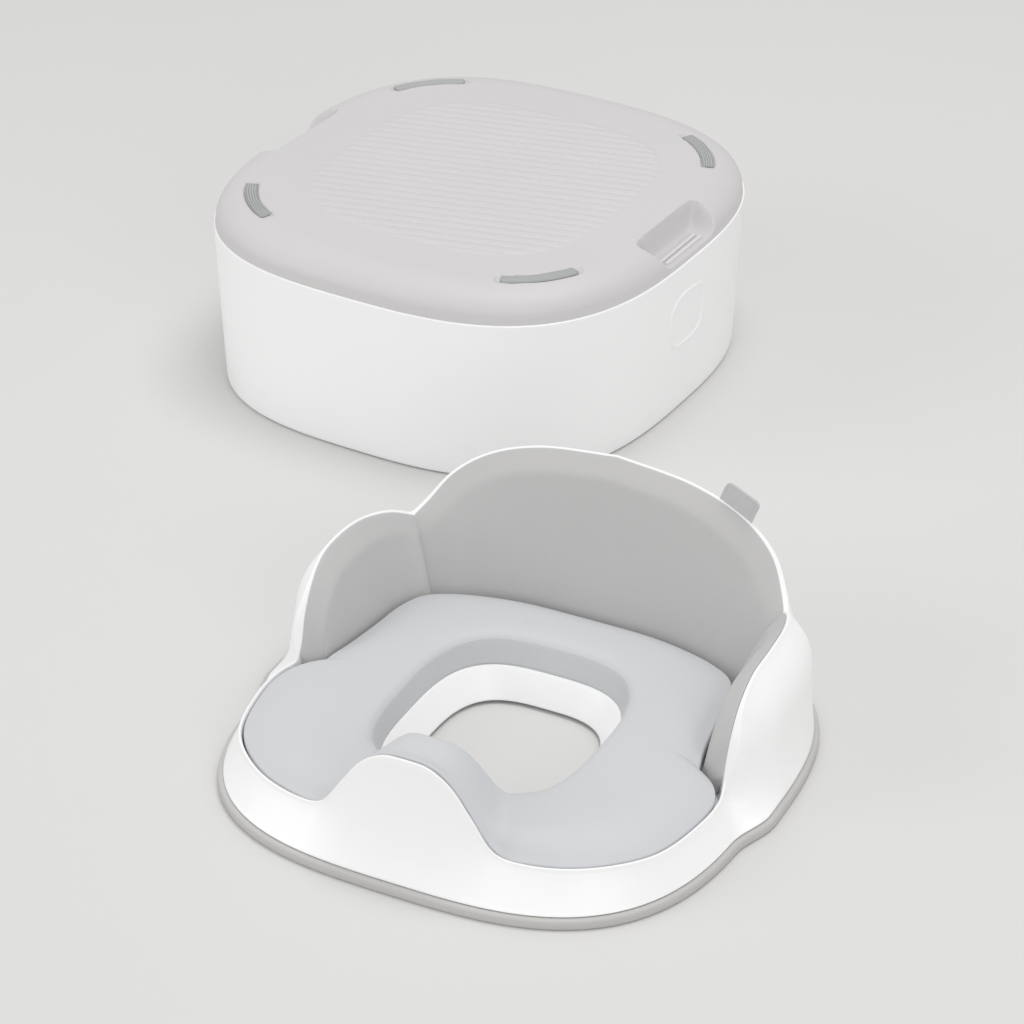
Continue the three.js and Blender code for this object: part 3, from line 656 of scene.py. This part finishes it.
def edge_thickness(angle, z):
    """Thickness of the wall's top edge, by its direction and height."""
    if angle < NOTCH:
        return lerp(WALL["notch"], WALL["back_top"], smooth(z, 76, 139))
    if angle > ARM_END:
        return WALL["front_lip"]
    arm = lerp(WALL["arm_foot"], WALL["arm_top"], smooth(z, 40, 93))
    arm = lerp(WALL["notch"], arm, smooth(angle, NOTCH, NOTCH + 0.25))
    return lerp(arm, WALL["front_lip"], smooth(angle, ARM_END - 0.06, ARM_END))


def waist_reach(angle):
    waist = lerp(WALL["back_waist"], WALL["arm_waist"], smooth(angle, NOTCH - 0.1, NOTCH + 0.15))
    return waist + WALL["back_top"]


def foot_reach(angle):
    """How far out the wall's inner face meets the deck."""
    return reach(foot_outline(angle)) if angle < ARM_END else reach(edge_outline(angle)) - 1.5


def deck_at(angle, radius):
    """The deck's height: flat, but for its climb to the splash guard."""
    rise = guard_rise(edge_outline(angle)[0]) if angle > ARM_END else 0
    start, foot = hole_reach(angle, 0) + HOLE["wall"], foot_reach(angle)
    middle = (start + foot) / 2
    if radius < middle:
        share = 0.75 * (radius - start) / (middle - start)
    else:
        share = 0.75 + 0.25 * (radius - middle) / (foot - middle)
    return DECK["z"] + GUARD["deck_rise"] * rise * clamp(share)


def collar_profile(angle):
    """The collar in the hole, up its inside and over its top, down to the deck."""
    hole, collar = hole_reach(angle, 0), hole_reach(angle, HOLE["taper"])
    start, low, high = hole + HOLE["wall"], HOLE["bottom"], HOLE["top"]
    profile = [(collar, low), (collar + 0.6, low + 0.8)]
    profile += [(lerp(collar, hole, t), lerp(low, high, t)) for t in (0.25, 0.5, 0.75, 0.95)]
    return profile + [(hole + 0.2, high), (start - 0.4, high), (start, high - 0.8), (start, DECK["z"] + 0.4)]


def deck_underside(angle):
    """The deck's underside, inwards to the collar and down its outside."""
    hole, collar, foot = hole_reach(angle, 0), hole_reach(angle, HOLE["taper"]), foot_reach(angle)
    start, under = hole + HOLE["wall"], DECK["z"] - DECK["thickness"]
    profile = [(foot + 1.5, deck_at(angle, foot) - DECK["thickness"])]
    for t in (0.75, 0.5):
        r = lerp(start, foot, t)
        profile.append((r, deck_at(angle, r) - DECK["thickness"]))
    profile += [(start + 2, under)]
    profile += [(lerp(collar, hole, 0.5) + HOLE["wall"], lerp(HOLE["bottom"], under, 0.5))]
    return profile + [(collar + HOLE["wall"], HOLE["bottom"])]


def outer_face(angle, edge, top_r, top_z, rim_z):
    """How far out the shell's outside is at a height: a swell below the top, and a flare to the rim."""
    edge_r, rim = reach(edge), rim_reach(angle)
    widest = max(top_r, min(edge_r + waist_reach(angle), rim - 3))
    waist = lerp(widest, top_r, smooth(angle, ARM_END - 0.25, ARM_END + 0.03))
    swell = lerp(0.6, 0.4, smooth(angle, NOTCH - 0.1, NOTCH + 0.1))
    front_flare = lerp(1.15, 2.4, guard_rise(edge[0])) if angle > ARM_END else 1.15
    flare = lerp(4, front_flare, smooth(angle, ARM_END - 0.12, ARM_END + 0.12))

    def outer(z):
        fall = clamp((top_z - z) / (top_z - rim_z))
        bulge = (waist - top_r) * (1 - (1 - min(1, fall / swell)) ** 2)
        return top_r + bulge + (rim - waist) * fall ** flare

    return outer


def shell_section(angle):
    """One closed section of the shell: collar, deck, wall, outer face, and back under the deck."""
    edge = edge_outline(angle)
    edge_r, rim, foot = reach(edge), rim_reach(angle), foot_reach(angle)
    deck = deck_at(angle, foot)
    top_r = min(edge_r + edge_thickness(angle, edge[2]), rim - 1)
    top_z, rim_z = edge[2] - 1, RIM["height"] + GAP
    outer, skin_t = outer_face(angle, edge, top_r, top_z, rim_z), WALL["skin"]

    def inner(z):
        return outer(min(top_z, z + 2)) - skin_t

    def face(z):
        return lerp(foot, edge_r, clamp((z - deck) / (edge[2] - deck))) + skin_t

    lowest = deck - DECK["thickness"] + 1
    ceiling = max(lowest, lowest + 0.5 * (edge[2] - deck) - 7)
    while ceiling > lowest and inner(ceiling) < face(ceiling) + 1:
        ceiling -= 0.5
    start = hole_reach(angle, 0) + HOLE["wall"]
    down = [lerp(top_z, rim_z, t) for t in (0.06, 0.14, 0.24, 0.36, 0.48, 0.6, 0.72, 0.83, 0.92)]
    up = [lerp(rim_z, ceiling, t) for t in (0.2, 0.45, 0.7, 0.9)]
    decks = [lerp(start, foot, t) for t in (0.06, 0.25, 0.5, 0.75, 0.94)]
    profile = collar_profile(angle) + [(r, deck_at(angle, r)) for r in decks]
    profile += [(foot - 0.2, deck), (lerp(foot, edge_r, 0.04), lerp(deck, edge[2], 0.04))]
    profile += [(lerp(foot, edge_r, t), lerp(deck, edge[2], t)) for t in (0.3, 0.6, 0.85)]
    profile += [(lerp(foot, edge_r, 0.99), edge[2] - 0.8), (edge_r + 0.35, edge[2] + 0.5)]
    profile += [((edge_r + top_r) / 2, edge[2] + 1), (lerp(edge_r, top_r, 0.85), edge[2] + 0.6)]
    profile += [(top_r, top_z - 0.3)] + [(outer(z), z) for z in down]
    profile += [(rim - 0.3, rim_z + 0.9), (rim, rim_z), (rim - skin_t + 0.3, rim_z)]
    profile += [(inner(z), z) for z in up]
    profile += [(max(inner(ceiling), face(ceiling) + 1), ceiling), (face(ceiling), ceiling)]
    return [radial(angle, r, z) for r, z in profile + deck_underside(angle)]


def mirrored(rows):
    """A closed ring of sections from those of its right half."""
    return rows + flipped(rows[-2:0:-1])


def half_angles():
    """Directions round the right half, closer where the outline turns quickly."""
    arm_top, guard_foot = math.radians(78), math.radians(150)
    return [*spaced(0, NOTCH, 34), *spaced(NOTCH, arm_top, 22), *spaced(arm_top, ARM_END, 36),
            *spaced(ARM_END, guard_foot, 36), *spaced(guard_foot, math.pi, 34), math.pi]


def ring(name, section, material, body, slot, nodes):
    vertices, faces = skin(mirrored([section(a) for a in half_angles()]), True)
    return subdivide(new_object(name, vertices, faces, on_seat, material, body, slot, nodes))


def rim_section(angle):
    rim, high = rim_reach(angle), RIM["height"]
    outside, inside = rim + RIM["lip"], rim - RIM["width"]
    profile = [(inside, 0), (outside - 1.6, 0), (outside - 0.5, 0.4), (outside, 1.4), (outside, 4.4),
               (outside - 0.4, high - 1.1), (outside - 1.2, high - 0.3), (outside - 2.4, high),
               (inside + 3, high), (inside, high - 3)]
    return [radial(angle, r, z) for r, z in profile]


def pad_reach(angle):
    outline = face_outline if angle < PAD_ARM_END else pad_front_outline
    return reach(outline(angle)) - PAD["side_gap"]


def pad_section(angle):
    """One closed section of the padded ring: well, crown, outer edge and underside."""
    rise = guard_rise(edge_outline(angle)[0]) if angle > ARM_END else 0
    outer = pad_reach(angle)
    at_front = smooth(angle, ARM_END - 0.1, ARM_END + 0.15)
    edge_z = lerp(37, PAD["edge"] + 0.3, at_front) + GUARD["rise"] * rise
    crown_z = PAD["crown"] + (GUARD["rise"] - PAD["crown"] + PAD["edge"] + PAD["arch"]) * rise
    hole = hole_reach(angle, -0.3)
    at_side = smooth(abs(hole * math.sin(angle)) / HOLE["x"], 0.6, 1)
    well_r = hole + lerp(lerp(PAD["well_run"], 4.5, at_side), 15, rise)
    well_z = PAD["well"] + (GUARD["rise"] - 13) * rise
    start = hole_reach(angle, 0) + HOLE["wall"]
    middle = (start + foot_reach(angle)) / 2

    def under(r):
        return (r, deck_at(angle, r) + PAD["bottom"] - DECK["z"])

    def slope(across, up):
        return (lerp(hole, well_r, across), lerp(PAD["hole"], well_z, up))

    profile = [(hole + 0.4, PAD["hole"] - 0.5), (hole, PAD["hole"]), (hole + 0.1, PAD["hole"] + 0.8)]
    profile += [slope(0.12, 0.16), slope(0.5, 0.52), slope(0.85, 0.88), (well_r, well_z)]
    profile += [(well_r + 1.6, lerp(well_z, crown_z, 0.42)), (well_r + 4, lerp(well_z, crown_z, 0.76))]
    profile += [(well_r + 9, lerp(well_z, crown_z, 0.95))]
    calm = min(outer, sum(pad_reach(abs(angle + turn)) for turn in (-0.2, -0.1, 0, 0.1, 0.2)) / 5)
    profile += [(lerp(well_r, calm, t), crown_z - drop) for t, drop in ((0.3, 0), (0.5, 0), (0.7, 0.3))]
    profile += [(lerp(well_r, outer, 0.85), lerp(crown_z, edge_z, 0.35))]
    profile += [(outer - inset, lerp(crown_z, edge_z, t)) for inset, t in ((4.5, 0.75), (1.8, 0.93))]
    profile += [(outer - 0.4, edge_z), (outer, edge_z - 1.4), (outer, edge_z - 3)]
    profile += [(outer - 0.4, lerp(edge_z, under(outer)[1], 0.6))]
    profile += [under(r) for r in (outer - 1, lerp(middle, outer, 0.5), middle, start + 3)]
    return [radial(angle, r, z) for r, z in [*profile, (start + 2, PAD["hole"] - 0.6)]]


def build_seat_cushion():
    """The moulded foam ring, with a grained face down the well round the hole, coloured darker there as
    painted shade.
    """
    pad = ring("seat_cushion", pad_section, PAD_GREY, "padded_ring", "blue_grey_padding", ["seat_pad"])
    pad.data.materials.append(WELL_SHADED_GREY)
    sides = len(pad_section(0))
    # The well's faces take the darker material: painted shade down the slope into the hole.
    for face in pad.data.polygons:
        face.material_index = 1 if face.index % sides < PAD["well_sides"] else 0


# A liner's bevel: how far down it is, and how far off the wall, each as a share.
BEVEL = [(0, 0.03), (0.04, 0.12), (0.16, 0.24), (0.38, 0.45), (0.62, 0.68), (0.84, 0.88), (1, 0.96),
         (1.2, 0.99), (1.5, 1)]


def liner_profile(angle, start, end):
    """One section of a wall liner: flat against the wall, with a broad bevel along its top."""
    edge = edge_outline(angle)
    foot, top = foot_reach(angle) - 0.1, reach(edge) + 0.2
    run, drop = LINER["back_end"] if start < 0 else LINER["arm_end"]
    from_end = min(angle - start, end - angle) * top
    crease = 1 - drop * (1 - clamp(from_end / run)) ** 2.2
    depth = (foot - reach(face_outline(angle))) * 0.97 * crease
    low, high = LINER["bottom"], edge[2] + 0.3
    fall = min(LINER["bevel"] / (high - low), 0.5)
    points = [(foot, low), (lerp(foot, top, 0.5), lerp(low, high, 0.5)), (top, high - 0.6)]
    for drop, inwards in BEVEL:
        share = 1 - fall * drop
        points.append((lerp(foot, top, share) - depth * inwards, lerp(low, high, share)))
    for t in (0.85, 0.65, 0.45, 0.22, 0):
        share = t * (1 - 1.3 * fall)
        puff = LINER["puff"] * math.sin(math.pi * clamp(share * 1.1)) * crease
        points.append((lerp(foot, top, share) - depth - puff, lerp(low, high, share)))
    return [radial(angle, r, z) for r, z in points]


def liner_angles(start, end, steps):
    """Close together near both ends, where the liner rounds off."""
    return [lerp(start, end, (1 - math.cos(math.pi * i / steps)) / 2) for i in range(steps + 1)]


def liner(name, rows, node):
    piece = new_object(name, *skin(rows, False), on_seat, LINER_GREY, "seat", "grey_padding", [node])
    subdivide(piece)


def build_liners():
    end = NOTCH - LINER["crease"]
    half = [liner_profile(a, -end, end) for a in liner_angles(-end, end, 120)[60:]]
    liner("back_cushion", flipped(half[:0:-1]) + half, "back_pad")
    start, stop = NOTCH + LINER["crease"], ARM_END - LINER["front_gap"]
    right = [liner_profile(a, start, stop) for a in liner_angles(start, stop, 90)]
    liner("arm_cushion_right", right, "arm_pad_right")
    liner("arm_cushion_left", flipped(right), "arm_pad_left")


def build_carrier():
    """The plate under the padded ring, open at the front, with four tabs down through the deck."""
    end = math.radians(CARRIER["end"])
    rows = []
    for angle in [a for a in half_angles() if a < end]:
        inner = hole_reach(angle, 0) + HOLE["wall"] + CARRIER["inner"]
        outer = pad_reach(angle) - CARRIER["outer"]
        low, high = DECK["z"] + CARRIER["bottom"], DECK["z"] + CARRIER["top"]
        profile = rounded([(inner, low), (inner, high), (outer, high), (outer, low)], 0.7, 2)
        rows.append([radial(angle, r, z) for r, z in profile])
    parts = [skin(flipped(rows[:0:-1]) + rows, False)]
    tab = (CLIP["thickness"] / 2, CLIP["width"] / 2, 4.4)
    for x, y in ((1, 1), (-1, 1), (1, -1), (-1, -1)):
        parts.append(bar((x * CLIP["x"], y * CLIP["y"], DECK["z"] - 2.4), tab, 2))
    new_object("pad_plate", *joined(parts), on_seat, WHITE, "padded_ring", "white_plastic", ["pad_carrier"])


def build_tag():
    """A folded ribbon tab standing on the back's top edge, with a sewn border."""
    angle = math.radians(TAG["angle"])
    here, ahead = edge_outline(angle), edge_outline(angle + 0.02)
    slope = math.atan2(ahead[2] - here[2], ahead[0] - here[0]) + TAG["tilt"]
    back_by = edge_thickness(angle, here[2]) * TAG["across_wall"]
    turn = Matrix.Rotation(-TAG["twist"], 3, "Z") @ Matrix.Rotation(-slope, 3, "Y")

    def place(p):
        x, y, z = turn @ Vector(p)
        return on_seat((x + here[0], y + here[1] + back_by, z + here[2] - 0.5))

    half, low, high, thick = TAG["width"] / 2, -TAG["root"], TAG["height"], TAG["thickness"]
    outline = rounded([(-half, low, 0.3), (half, low, 0.3), (half, high), (-half, high)], TAG["radius"], 6)
    middle, extent = np.array((0, (low + high) / 2)), np.array((half, (high - low) / 2))
    front = [(9.5, -0.42), (3.4, -0.42), (2.6, -0.28), (1.8, -0.42), (0.7, -0.42), (0.1, -0.3)]
    back = [(inset, -depth) for inset, depth in front[::-1]]
    layers = []
    for inset, depth in front + [(0, 0)] + back:
        layer = []
        for x, z in outline:
            shrink = np.maximum((extent - inset) / extent, 0.02)
            q = middle + (np.array((x, z)) - middle) * shrink
            layer.append((q[0], depth * thick, q[1]))
        layers.append(layer)
    vertices, faces = skin(layers, False)
    new_object("ribbon_tag", vertices, faces, place, TAG_GREY, "seat", "grey_rubber", ["tag"])


# ---------------------------------------------------------------------------------------------------
# Set: camera, lights and floor
# ---------------------------------------------------------------------------------------------------
# The camera's place and aim are in millimetres from the base's middle.
CAMERA_AT = (1221.7, -2013.4, 1272.5)
CAMERA_TO = (147.65, -202.85, 0)
LENS = 119.2


def build_camera():
    data = bpy.data.cameras.new("Camera")
    data.lens = LENS
    data.sensor_width = 36
    data.clip_end = 50
    camera = bpy.data.objects.new("Camera", data)
    bpy.context.scene.collection.objects.link(camera)
    camera.location = on_base(CAMERA_AT)
    camera.rotation_euler = (on_base(CAMERA_TO) - on_base(CAMERA_AT)).to_track_quat("-Z", "Y").to_euler()
    bpy.context.scene.camera = camera


def area_light(name, location, target, size, power):
    data = bpy.data.lights.new(name, "AREA")
    data.size = size
    data.energy = power
    light = bpy.data.objects.new(name, data)
    bpy.context.scene.collection.objects.link(light)
    light.location = location
    light.rotation_euler = (Vector(target) - Vector(location)).to_track_quat("-Z", "Y").to_euler()


def build_studio():
    scene = bpy.context.scene
    scene.view_settings.view_transform = "Standard"
    world = bpy.data.worlds.new("Studio")
    world.use_nodes = True
    world.node_tree.nodes["Background"].inputs["Color"].default_value = (1, 1, 0.995, 1)
    world.node_tree.nodes["Background"].inputs["Strength"].default_value = 0.66
    scene.world = world
    area_light("Overhead softbox", (0.3, 0.4, 2.8), (0, 0, 0), 1.4, 26)
    area_light("Front left softbox", (-2.5, -2.3, 1.5), (0, 0, 0.05), 2.2, 24)
    area_light("Front right softbox", (2.5, -2.1, 1.4), (0, 0, 0.05), 2.0, 19)
    floor = bpy.data.meshes.new("Floor")
    floor.from_pydata([(-12, -12, 0), (12, -12, 0), (12, 12, 0), (-12, 12, 0)], [], [(0, 1, 2, 3)])
    finish = surface("studio_floor", (0.70, 0.696, 0.686), 0.9, 60, 0.02, mottle=0.003, specular=0.1)
    floor.materials.append(finish)
    plane = bpy.data.objects.new("Floor", floor)
    scene.collection.objects.link(plane)


build_camera()
build_studio()
build_tub()
build_embossed_outline()
build_lid()
build_ribs()
build_grips()
build_inserts()
build_pot()
build_feet()
ring("seat_moulding", shell_section, WHITE, "seat", "white_plastic", ["seat_shell"])
ring("seat_rim_strip", rim_section, RIM_GREY, "seat", "grey_rubber", ["seat_rim"])
build_seat_cushion()
build_liners()
build_carrier()
build_tag()
